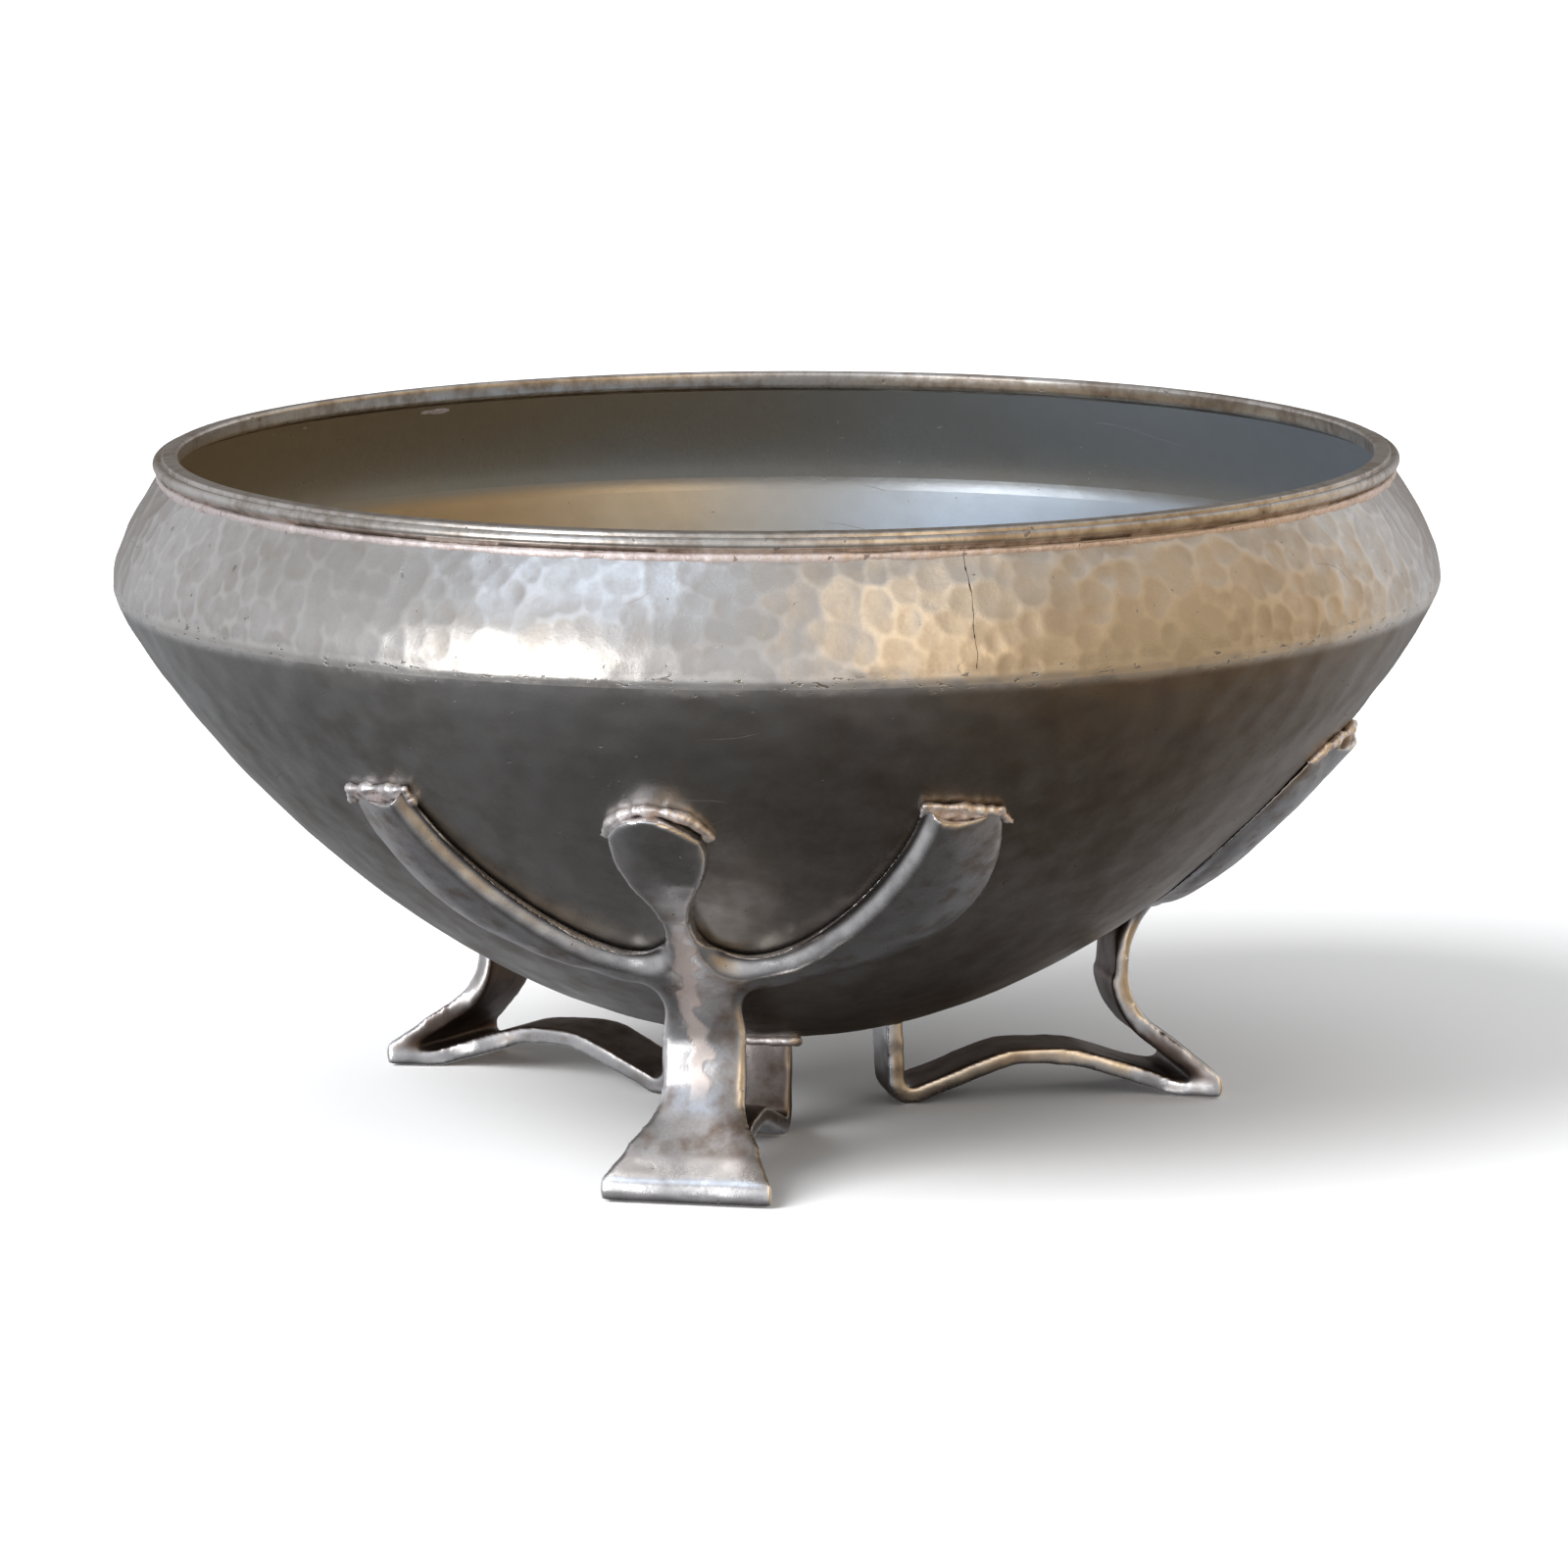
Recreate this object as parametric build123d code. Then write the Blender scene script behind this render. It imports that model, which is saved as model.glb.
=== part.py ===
"""Raised metal bowl with a soldered shoulder band, a moulded rim and three bent-strap feet.

The frame stands on the ground plane z = 0 with the bowl's axis on Z. The front foot points to -Y.
All sizes are in millimetres.
"""

import os

from build123d import *

# Bowl body
MAX_RADIUS = 140.0  # at the fold between the lower bowl and the shoulder
FOLD_HEIGHT = 115.0
BOWL_UNDERSIDE = 17.3  # lowest point of the bowl above the ground
FLOOR_REACH = 76.3  # how far the flat of the bottom carries outward before it climbs
WALL = 1.2

# Shoulder band and rim
NECK_RADIUS = 129.2
NECK_HEIGHT = 138.6
FOLD_SEAM_HEIGHT = 3.2  # height of the solder between the lower bowl and the band
BUTT_SEAM_WIDTH = 0.7
BUTT_SEAM_ANGLE = 28.0  # degrees from the front foot towards +X
RIM_INNER_RADIUS = 125.8
RIM_OUTER_RADIUS = 131.0
RIM_TOP = 142.6

# Feet
LEG_ANGLES = {"front": -90.0, "right": 24.0, "left": 156.0}
STRAP = 4.0  # thickness of the strap metal
NECK_HALF_WIDTH = 8.6
RETURN_HALF_WIDTH = 7.7
TOE_HALF_WIDTH = 18.4
TOE_REACH = 92.0  # distance of the toe's rounded fold from the axis
RISER_REACH = 23.4  # distance of the inner riser from the axis
TRIDENT_FOOT = 42.0  # lowest edge of the part that lies on the bowl
BUD_TOP = 85.5
ARM_INNER = (52.5, 86.0)  # corners of an arm's cut end, sideways and up
ARM_OUTER = (66.0, 84.0)
SOLDER = 1.5  # how far a solder bead spreads past an edge

BIG = 400.0  # larger than anything in the model


def lower_curve(offset_out=0.0):
    """Curve of the lower bowl, from the fold to the axis, as a cubic."""
    return Bezier(
        (MAX_RADIUS + offset_out, FOLD_HEIGHT),
        (MAX_RADIUS + offset_out - 3.3, FOLD_HEIGHT - 13.9 - 0.3 * offset_out),
        (FLOOR_REACH + 0.2 * offset_out, BOWL_UNDERSIDE - offset_out),
        (0, BOWL_UNDERSIDE - offset_out),
    )


def shoulder_curve(offset_in=0.0):
    """Curve of the shoulder, from the fold up to the neck."""
    return Bezier(
        (MAX_RADIUS - offset_in, FOLD_HEIGHT),
        (MAX_RADIUS - offset_in, FOLD_HEIGHT + 8.0),
        (NECK_RADIUS + 4.7 - 1.2 * offset_in, NECK_HEIGHT - 6.0),
        (NECK_RADIUS - 1.25 * offset_in, NECK_HEIGHT),
    )


def filled_profile(inset=0.0):
    """Half section of the bowl's outside, filled to the axis; inset gives the inside."""
    lower = lower_curve(-inset)
    upper = shoulder_curve(inset)
    top = Line(upper @ 1, (0, NECK_HEIGHT))
    axis = Line((0, NECK_HEIGHT), lower @ 1)
    return make_face(Curve() + [lower, upper, top, axis])


def strip(low, high):
    """Horizontal strip of the half section between two heights."""
    return Pos(BIG / 4, (low + high) / 2) * Rectangle(BIG / 2, high - low)


def spin(section):
    """Turn a half section about the bowl's axis."""
    return revolve(Plane.YZ * section, axis=Axis.Z)


OUTSIDE = filled_profile()
WALL_SECTION = OUTSIDE - filled_profile(WALL)
SEAM_LOW = FOLD_HEIGHT - FOLD_SEAM_HEIGHT / 2
SEAM_HIGH = FOLD_HEIGHT + FOLD_SEAM_HEIGHT / 2
BOWL_SOLID = spin(OUTSIDE)


def make_lower_bowl():
    """The raised lower bowl, up to the seam at the fold."""
    return spin(WALL_SECTION & strip(0, SEAM_LOW))


def butt_seam_box():
    """Thin upright slab where the two ends of the shoulder band meet."""
    slab = Pos(MAX_RADIUS, 0, FOLD_HEIGHT) * Box(40, BUTT_SEAM_WIDTH, 80)
    return Rot(0, 0, -90 + BUTT_SEAM_ANGLE) * slab


def make_closed_band():
    """The shoulder band as a closed ring, its butt joint filled."""
    return spin(WALL_SECTION & strip(SEAM_HIGH, NECK_HEIGHT))


def make_shoulder_band():
    """The hammered strip bent into a ring, open by the width of its butt joint."""
    return make_closed_band() - butt_seam_box()


def make_butt_solder():
    """Solder that fills the band's butt joint."""
    return make_closed_band() & butt_seam_box()


def make_fold_solder():
    """Ring of solder between the lower bowl and the band, with a fillet inside."""
    bridge = WALL_SECTION & strip(SEAM_LOW, SEAM_HIGH)
    fillet_bead = Pos(MAX_RADIUS - WALL, FOLD_HEIGHT) * Circle(FOLD_SEAM_HEIGHT / 2 - 0.1)
    inside = fillet_bead & filled_profile(WALL)
    return spin(bridge + inside)


def rim_section():
    """Section of the rim moulding: a domed top, a fine groove and a bead at the outer edge."""
    corners = [
        (RIM_INNER_RADIUS + 1.4, NECK_HEIGHT),
        (NECK_RADIUS + 0.4, NECK_HEIGHT),
        (RIM_OUTER_RADIUS, NECK_HEIGHT + 1.2),
        (RIM_OUTER_RADIUS, RIM_TOP - 1.3),
        (RIM_INNER_RADIUS + 1.6, RIM_TOP),
        (RIM_INNER_RADIUS, RIM_TOP - 0.6),
        (RIM_INNER_RADIUS, NECK_HEIGHT + 1.2),
    ]
    moulding = make_face(Polyline(*corners, close=True))
    softened = fillet(moulding.vertices().sort_by(Axis.Y)[2:], 0.55)
    groove = Pos(RIM_OUTER_RADIUS - 1.1, RIM_TOP - 0.7) * Circle(0.35)
    return softened - groove


def make_rim_ring():
    """The drawn rim moulding, standing on the band's upper edge."""
    return spin(rim_section())


def make_rim_solder():
    """Bead of solder in the corner under the rim moulding."""
    bead = Pos(NECK_RADIUS + 0.3, NECK_HEIGHT - 0.9) * Circle(1.05)
    return spin(bead - OUTSIDE - rim_section() - strip(NECK_HEIGHT, NECK_HEIGHT + 5))


def stroke(*points, radii):
    """Side view of a strap: a band of the strap's thickness along a filleted line."""
    path = FilletPolyline(*points, radius=radii)
    return make_face(offset(path, amount=STRAP / 2, side=Side.BOTH))


def strap_side():
    """Side view of one foot, distance from the axis by height."""
    half = STRAP / 2
    drop = stroke((84.6, 47.8), (73.0, 36.0), (73.0, 18.7), (TOE_REACH, 3.9), radii=[20.0, 17.0])
    back = stroke((TOE_REACH, half - 0.4), (84.0, half), (64.0, 8.8), (50.0, 9.8),
                  (RISER_REACH + 1.1, 0.8), (RISER_REACH, 24.0), radii=[12.0, 26.0, 22.0, 3.2])
    toe = Pos(TOE_REACH - 0.4, 2.7) * Circle(2.7)
    above_ground = Pos(60, 40) * Rectangle(120, 80)
    return (drop + back + toe) & above_ground


def strap_plan():
    """Plan view of one foot: a narrow strap that flares to the toe and to the trident."""
    half = [
        (0, RETURN_HALF_WIDTH),
        (62, RETURN_HALF_WIDTH),
        (71, NECK_HALF_WIDTH),
        (75, NECK_HALF_WIDTH),
    ]
    flare = Spline(half[-1], (84, 12.6), (93, TOE_HALF_WIDTH - 0.2), tangents=[(1, 0.1), (1, 0.6)])
    side = Curve() + [Polyline(*half), flare]
    nose = Polyline((93, TOE_HALF_WIDTH - 0.2), (98, TOE_HALF_WIDTH), (98, 0), (0, 0), (0, RETURN_HALF_WIDTH))
    upper = make_face(side + nose)
    return upper + mirror(upper, Plane.XZ)


def neck_plan():
    """Plan view of the part that rises from the neck on to the bowl."""
    flare = Spline((72, NECK_HALF_WIDTH), (78, 9.4), (86, 13.0), tangents=[(1, 0), (1, 0.9)])
    rest = Polyline((86, 13.0), (110, 13.0), (110, 0), (72, 0), (72, NECK_HALF_WIDTH))
    upper = make_face(Curve() + [flare, rest])
    return upper + mirror(upper, Plane.XZ)


def make_strap():
    """The bent strap: drop, folded toe, return hump and inner riser."""
    side = extrude(Plane.XZ * strap_side(), amount=30, both=True)
    split = 26.0
    low_zone = extrude(strap_plan(), amount=split)
    high_zone = Pos(0, 0, split) * extrude(neck_plan(), amount=50)
    riser_zone = Pos(RISER_REACH, 0, 15) * Box(20, 2 * RETURN_HALF_WIDTH, 30)
    return side & (low_zone + high_zone + riser_zone)


def trident_outline():
    """Front view of the trident that lies on the bowl: a bud on a stem between two arms."""
    apex = (0, BUD_TOP)
    bud_base = (6.0, 67.5)
    stem = (3.1, 58.0)
    notch_floor = (11.4, 49.8)
    foot_side = (12.0, TRIDENT_FOOT)
    bud = Bezier(apex, (12.9, 85.0), (11.2, 74.6), bud_base)
    throat = Bezier(bud_base, (3.6, 64.2), (3.1, 61.0), stem)
    notch = Bezier(stem, (3.1, 54.0), (5.5, 50.0), notch_floor)
    arm_top = Bezier(notch_floor, (22.0, 49.4), (45.0, 68.0), ARM_INNER)
    end = ThreePointArc(ARM_INNER, (59.3, 83.4), ARM_OUTER)
    under = Bezier(ARM_OUTER, (64.0, 62.0), (46.0, 45.0), foot_side)
    close = Polyline(foot_side, (0, TRIDENT_FOOT), apex)
    right = make_face(Curve() + [bud, throat, notch, arm_top, end, under, close])
    return right + mirror(right, Plane.YZ)


def shell(thickness):
    """Skin of the given thickness that lies on the outside of the lower bowl."""
    skin = make_face(Curve() + [
        lower_curve(thickness),
        Line((0, BOWL_UNDERSIDE - thickness), (0, FOLD_HEIGHT)),
        Line((0, FOLD_HEIGHT), (MAX_RADIUS + thickness, FOLD_HEIGHT)),
    ])
    return spin(skin) - BOWL_SOLID


def project_on_bowl(outline, thickness):
    """The part of a skin on the bowl that lies behind a front-view outline."""
    column = extrude(Plane.YZ * outline, amount=180)
    return shell(thickness) & column


def make_leg():
    """One foot in a single piece: strap and trident, fitted to the bowl."""
    trident = project_on_bowl(trident_outline(), STRAP * 1.1)
    return (make_strap() - BOWL_SOLID) + trident


def bud_bead_outline():
    """Front view of the solder round the top of the bud."""
    left = (-11.8, 80.0)
    right = (11.8, 80.0)
    return make_face(Curve() + [ThreePointArc(left, (0, BUD_TOP + SOLDER), right), Line(right, left)])


def arm_bead_outline():
    """Front view of the solder across the cut end of the arm on the +Y side."""
    inner = (ARM_INNER[0] - 1.6, ARM_INNER[1] - 2.5)
    outer = (ARM_OUTER[0] + 1.6, ARM_OUTER[1] - 2.5)
    top_inner = (ARM_INNER[0] - 0.4, ARM_INNER[1] + SOLDER)
    top_outer = (ARM_OUTER[0] + 0.6, ARM_OUTER[1] + SOLDER)
    return make_face(Polyline(inner, top_inner, top_outer, outer, close=True))


def make_solders(leg):
    """The four soldered joints of one foot, each a bead that hugs the foot and the bowl."""
    riser_pad = Rectangle(STRAP + 2 * SOLDER, 2 * (RETURN_HALF_WIDTH + SOLDER))
    riser_column = extrude(Pos(RISER_REACH, 0) * fillet(riser_pad.vertices(), SOLDER), amount=40)
    arm_bead = project_on_bowl(arm_bead_outline(), SOLDER)
    return {
        "bud_solder": project_on_bowl(bud_bead_outline(), SOLDER) - leg,
        "arm_solder_a": mirror(arm_bead, Plane.XZ) - leg,
        "arm_solder_b": arm_bead - leg,
        "riser_solder": (shell(SOLDER) & riser_column) - leg,
    }


def main():
    os.makedirs("parts", exist_ok=True)
    nodes = {
        "lower_bowl": make_lower_bowl(),
        "shoulder_band": make_shoulder_band(),
        "band_butt_solder": make_butt_solder(),
        "fold_solder": make_fold_solder(),
        "rim_ring": make_rim_ring(),
        "rim_solder": make_rim_solder(),
    }
    leg = make_leg()
    solders = make_solders(leg)
    for place, angle in LEG_ANGLES.items():
        turn = Rot(0, 0, angle)
        nodes["leg_" + place] = turn * leg
        for name, bead in solders.items():
            nodes[name + "_" + place] = turn * bead
    for name, solid in nodes.items():
        export_step(solid, os.path.join("parts", name + ".step"))


main()
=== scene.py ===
"""Looks of the footed bowl: hammered walls, moulded rim, bent-strap feet and soldered joints."""

import math

import bpy
import numpy as np
from mathutils import Matrix, Vector


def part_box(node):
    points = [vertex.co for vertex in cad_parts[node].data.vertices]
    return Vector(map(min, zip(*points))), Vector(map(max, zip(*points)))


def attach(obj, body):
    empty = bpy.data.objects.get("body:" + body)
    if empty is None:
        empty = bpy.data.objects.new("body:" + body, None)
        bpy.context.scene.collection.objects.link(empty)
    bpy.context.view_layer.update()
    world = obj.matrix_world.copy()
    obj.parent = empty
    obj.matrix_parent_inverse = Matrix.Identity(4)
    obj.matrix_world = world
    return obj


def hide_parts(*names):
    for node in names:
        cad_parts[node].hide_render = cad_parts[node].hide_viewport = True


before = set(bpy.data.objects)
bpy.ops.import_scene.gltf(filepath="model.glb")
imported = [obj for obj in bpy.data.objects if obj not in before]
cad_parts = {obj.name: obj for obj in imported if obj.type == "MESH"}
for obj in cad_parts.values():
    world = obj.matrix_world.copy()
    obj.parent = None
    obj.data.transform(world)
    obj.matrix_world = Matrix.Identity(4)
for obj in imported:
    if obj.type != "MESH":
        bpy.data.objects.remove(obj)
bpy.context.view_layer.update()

MM = 0.001

# Sizes read from the frame, in millimetres
FOLD_LOW, FOLD_HIGH = (np.array(v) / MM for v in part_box("fold_solder"))
BOWL_LOW, BOWL_HIGH = (np.array(v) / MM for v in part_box("lower_bowl"))
BAND_LOW, BAND_HIGH = (np.array(v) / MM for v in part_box("shoulder_band"))
RIM_HIGH = np.array(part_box("rim_ring")[1]) / MM

MAX_RADIUS = FOLD_HIGH[0]
FOLD_HEIGHT = (FOLD_LOW[2] + FOLD_HIGH[2]) / 2
UNDERSIDE = BOWL_LOW[2]
SEAM_LOW = BOWL_HIGH[2]
SEAM_HIGH = BAND_LOW[2]
NECK_HEIGHT = BAND_HIGH[2]
RIM_TOP = RIM_HIGH[2]
RIM_RADIUS = RIM_HIGH[0]

# Sizes of the solid model that the boxes don't show, in millimetres and degrees
WALL = 1.2
NECK_RADIUS = 129.2
FLOOR_REACH = 76.3  # how far out the bottom's curve is pulled flat
BUTT_ANGLE = -62


# ---------------------------------------------------------------- curves of the wall

def cubic(points, t):
    """Points of a cubic Bezier curve."""
    p = np.array(points, float)
    t = np.asarray(t, float)[:, None]
    u = 1 - t
    return u ** 3 * p[0] + 3 * t * u ** 2 * p[1] + 3 * t * t * u * p[2] + t ** 3 * p[3]


def run_length(line):
    """Distance along a line, at each of its points."""
    return np.r_[0, np.cumsum(np.linalg.norm(np.diff(line, axis=0), axis=1))]


def even(points, count):
    """The same line with evenly spaced points."""
    steps = run_length(points)
    at = np.linspace(0, steps[-1], count)
    return np.stack([np.interp(at, steps, points[:, i]) for i in range(points.shape[1])], 1)


FINE = np.linspace(0, 1, 4001)
LOWER = cubic([(MAX_RADIUS, FOLD_HEIGHT), (MAX_RADIUS - 3.3, FOLD_HEIGHT - 13.9), (FLOOR_REACH, UNDERSIDE),
               (0, UNDERSIDE)], FINE)
UPPER = cubic([(MAX_RADIUS, FOLD_HEIGHT), (MAX_RADIUS, FOLD_HEIGHT + 8), (NECK_RADIUS + 4.7, NECK_HEIGHT - 6),
               (NECK_RADIUS, NECK_HEIGHT)], FINE)
WALL_LINE = np.vstack([UPPER[::-1], LOWER[1:]])  # from the neck down to the middle of the bottom
WALL_LENGTH = float(np.linalg.norm(np.diff(WALL_LINE, axis=0), axis=1).sum())


def between(line, low, high):
    """The part of a profile between two heights."""
    keep = (line[:, 1] >= low - 1e-6) & (line[:, 1] <= high + 1e-6)
    return line[keep]


def smooth_step(x, low, high):
    """0 below low, 1 above high, smooth between."""
    t = np.clip((x - low) / (high - low), 0, 1)
    return t * t * (3 - 2 * t)


def normals_2d(line):
    """Outward normals of a profile that runs downward."""
    d = np.gradient(line, axis=0)
    n = np.stack([-d[:, 1], d[:, 0]], 1)
    n /= np.linalg.norm(n, axis=1)[:, None] + 1e-12
    return n


# ---------------------------------------------------------------- mesh helpers

SHARP_CORNER = 55  # degrees: a closed ring or a bowl is smooth across anything flatter


def new_object(name, verts, faces, smooth=True, corner=0):
    """A mesh object from points in millimetres; edges over the corner angle in degrees stay sharp."""
    mesh = bpy.data.meshes.new(name)
    mesh.from_pydata((np.asarray(verts) * MM).tolist(), [], faces)
    mesh.validate()
    mesh.polygons.foreach_set("use_smooth", [smooth] * len(mesh.polygons))
    if corner:
        mesh.set_sharp_from_angle(angle=math.radians(corner))
    mesh.update()
    obj = bpy.data.objects.new(name, mesh)
    bpy.context.scene.collection.objects.link(obj)
    return obj


def grid_faces(rows, cols, wrap_rows=False):
    """Faces of a grid whose columns close on themselves."""
    r = np.arange(rows if wrap_rows else rows - 1)
    c = np.arange(cols)
    rr, cc = np.meshgrid(r, c, indexing="ij")
    nr = (rr + 1) % rows
    nc = (cc + 1) % cols
    quads = np.stack([rr * cols + cc, nr * cols + cc, nr * cols + nc, rr * cols + nc], -1)
    return quads.reshape(-1, 4)


def spin(line, turns, push=None):
    """A ring of points from a profile; push moves each point out along the normal."""
    angle = np.linspace(0, 2 * np.pi, turns, endpoint=False)
    n = normals_2d(line)
    r = np.repeat(line[:, :1], turns, 1)
    z = np.repeat(line[:, 1:2], turns, 1)
    if push is not None:
        r = r + push * n[:, :1]
        z = z + push * n[:, 1:2]
    return np.stack([r * np.cos(angle), r * np.sin(angle), z], -1)


def closed_ring(name, rings):
    """A solid ring: rows of points that close both ways."""
    rows, cols = rings.shape[:2]
    faces = grid_faces(rows, cols, wrap_rows=True).tolist()
    return new_object(name, rings.reshape(-1, 3), faces, corner=SHARP_CORNER)


def bowl_shape(name, outer, inner):
    """A vessel: outer rows down to a pole and inner rows up again; the two poles are its last points."""
    cols = outer.shape[1]
    rows = len(outer) + len(inner)
    body = np.vstack([outer, inner[::-1]]).reshape(-1, 3)
    last = len(outer) - 1
    low_pole = [0, 0, outer[-1, :, 2].mean()]
    high_pole = [0, 0, inner[-1, :, 2].mean()]
    verts = np.vstack([body, [low_pole, high_pole]])
    quads = grid_faces(rows, cols, wrap_rows=True)
    skip = (quads[:, 0] // cols) == last
    faces = quads[~skip].tolist()
    outer_pole, inner_pole = len(body), len(body) + 1
    for c in range(cols):
        d = (c + 1) % cols
        faces.append([last * cols + c, outer_pole, last * cols + d])
        faces.append([(last + 1) * cols + d, inner_pole, (last + 1) * cols + c])
    return new_object(name, verts, faces, corner=SHARP_CORNER)


# ---------------------------------------------------------------- hammer marks

def noise_1d(rng, count, waves, fall=1.0):
    """Smooth periodic noise round a ring, from -1 to 1."""
    a = np.linspace(0, 2 * np.pi, count, endpoint=False)
    out = np.zeros(count)
    for k in range(1, waves + 1):
        out += rng.normal() / k ** fall * np.cos(k * a + rng.uniform(0, 2 * np.pi))
    return out / np.abs(out).max()


def hammer(rng, radius, length, size, depth, cover, start, stop):
    """Overlapping round dishes on a ring's surface, as a depth below the mean surface.

    radius gives the ring's radius at each row, length the distance along the profile.
    size is a dish's radius, and cover the distance between dishes as a share of it.
    """
    rows, cols = length.shape
    field = np.zeros((rows, cols))
    along = length[:, 0]
    spacing = size * cover
    row_count = int((stop - start) / spacing)
    turn = 2 * np.pi / cols
    for i in range(row_count + 1):
        s0 = start + i * spacing
        row = min(int(np.searchsorted(along, s0)), rows - 1)
        around = max(3, int(2 * np.pi * radius[row] / spacing))
        phase = rng.uniform()
        for j in range(around):
            s = s0 + rng.normal() * spacing * 0.3
            a = (j + phase + rng.normal() * 0.27) / around * 2 * np.pi
            rho = size * rng.uniform(0.66, 1.15)
            low, high = np.searchsorted(along, [s - rho, s + rho])
            if high <= low:
                continue
            local = radius[min(max(low, 0), rows - 1)] + 1e-6
            half = int(math.ceil(rho / (local * turn))) + 1
            if half * 2 >= cols:
                continue
            centre = int(round(a / turn))
            index = np.arange(centre - half, centre + half + 1)
            dx = (index * turn - a) * radius[low:high, None]
            dy = (along[low:high] - s)[:, None]
            squash = rng.uniform(0.85, 1.2)
            d2 = (dx * squash) ** 2 + (dy / squash) ** 2
            dish = depth * rng.uniform(0.6, 1.15) * (d2 / rho ** 2 - 1)
            patch = field[low:high][:, index % cols]
            rows_index = np.arange(low, high)[:, None]
            field[rows_index, index % cols] = np.minimum(patch, dish)
    return field


def soften(field, times):
    """Blurs a ring's field a little."""
    for _ in range(times):
        across = (np.roll(field, 1, 1) + np.roll(field, -1, 1) + 2 * field) / 4
        up = np.vstack([across[:1], across[:-1]])
        down = np.vstack([across[1:], across[-1:]])
        field = (up + down + 2 * across) / 4
    return field


# ---------------------------------------------------------------- walls

COLS = 1560  # columns of the relief, and of the rings that carry it
STEP = 0.56  # distance between the relief's rows
RELIEF_LINE = even(WALL_LINE, int(WALL_LENGTH / STEP))
RELIEF_S = run_length(RELIEF_LINE)
FOLD_S = float(np.interp(-FOLD_HEIGHT, -RELIEF_LINE[:, 1], RELIEF_S))


def wall_relief():
    """Hammer relief of the whole outside and its ridges between marks.

    The marks are small on the shoulder, and broad and soft on the lower bowl.
    """
    rng = np.random.default_rng(5)
    length = np.repeat(RELIEF_S[:, None], COLS, 1)
    radius = RELIEF_LINE[:, 0]
    small = hammer(rng, radius, length, size=4.9, depth=0.38, cover=1.06, start=0, stop=FOLD_S + 14)
    ridge_height = 0.035
    ridge = np.clip((small - soften(small, 8)) / ridge_height, 0, 1)
    small = soften(small, 1)
    broad_start, broad_stop = FOLD_S - 16, RELIEF_S[-1]
    broad = hammer(rng, radius, length, size=6.4, depth=0.42, cover=1.15, start=broad_start, stop=broad_stop)
    broad = soften(broad, 4)
    mix = smooth_step(length, FOLD_S - 1, FOLD_S + 7)
    patchy = 0.66 + 0.34 * noise_1d(rng, COLS, 8)[None, :]
    # The broad marks grow fainter toward the bottom
    fade = 0.35 + 0.65 * np.exp(-np.clip(length - FOLD_S, 0, None) / 30)
    relief = small * patchy * (1 - mix) + broad * fade * mix
    # The shoulder isn't quite round, and the fold's edge is uneven
    swell_depth, swell_length = 0.14, 26
    swell = swell_depth * (noise_1d(rng, COLS, 12)[None, :] - 1)
    swell = swell * np.sin(np.clip(length / swell_length, 0, 1) * np.pi)
    wave_depth, wave_width = 0.10, 2.2
    fold_wave = wave_depth * (noise_1d(rng, COLS, 90, 0.5)[None, :] - 1)
    fold_wave = fold_wave * np.exp(-((length - FOLD_S) / wave_width) ** 2)
    at_neck = smooth_step(length, 0, 1.0)
    return (relief + swell + fold_wave) * at_neck, soften(ridge, 1) * (1 - mix)


def inner_wall():
    """The inside of the wall, rounded softly where the outside folds."""
    blur_reach, fold_reach = 9, 16
    line = RELIEF_LINE - normals_2d(RELIEF_LINE) * WALL
    reach = int(blur_reach / STEP)
    kernel = np.hanning(2 * reach + 1)
    kernel /= kernel.sum()
    padded = np.pad(line, ((reach, reach), (0, 0)), mode="edge")
    smooth = np.stack([np.convolve(padded[:, i], kernel, "valid") for i in range(2)], 1)
    weight = np.exp(-((RELIEF_S - FOLD_S) / fold_reach) ** 4)[:, None]
    return line * (1 - weight) + smooth * weight


def inner_for(low, high, count):
    """The inside between two heights of the outside, from the top down."""
    s = np.interp([-high, -low], -RELIEF_LINE[:, 1], RELIEF_S)
    return np.stack([np.interp(np.linspace(*s, count), RELIEF_S, INNER[:, i]) for i in range(2)], 1)


def relief_for(line, every=1):
    """The outside relief and its ridges for the rows of a profile."""
    s = np.interp(-line[:, 1], -RELIEF_LINE[:, 1], RELIEF_S)
    row = np.clip(np.interp(s, RELIEF_S, np.arange(len(RELIEF_S))), 0, len(RELIEF_S) - 1.001)
    low = row.astype(int)
    part = (row - low)[:, None]
    return [(f[low] * (1 - part) + f[low + 1] * part)[:, ::every] for f in (RELIEF, RIDGE)]


RELIEF, RIDGE = wall_relief()
INNER = inner_wall()


def mark(piece, name, values):
    """Stores a value at each point for the materials; points past the last value get 0."""
    full = np.zeros(len(piece.data.vertices), np.float32)
    full[:len(values)] = values
    piece.data.attributes.new(name, "FLOAT", "POINT").data.foreach_set("value", full)
    return piece


def make_lower_bowl():
    """The raised lower bowl, with broad soft hammer marks outside and a smooth inside."""
    outer_rows, inner_rows, every = 130, 44, 3
    line = even(between(LOWER, 0, SEAM_LOW), outer_rows)[:-1]
    push, ridge = relief_for(line, every)
    outer = spin(line, COLS // every, push)
    outer[0, :, 2] = SEAM_LOW
    inner = spin(inner_for(UNDERSIDE, SEAM_LOW, inner_rows)[:-1], COLS // every)
    piece = bowl_shape("lower_bowl_hammered", outer, inner)
    mark(piece, "ridge", ridge.ravel())
    inside = np.r_[np.zeros(outer[..., 0].size), np.ones(inner[..., 0].size), 0, 1]
    return mark(piece, "inside", inside)


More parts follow.
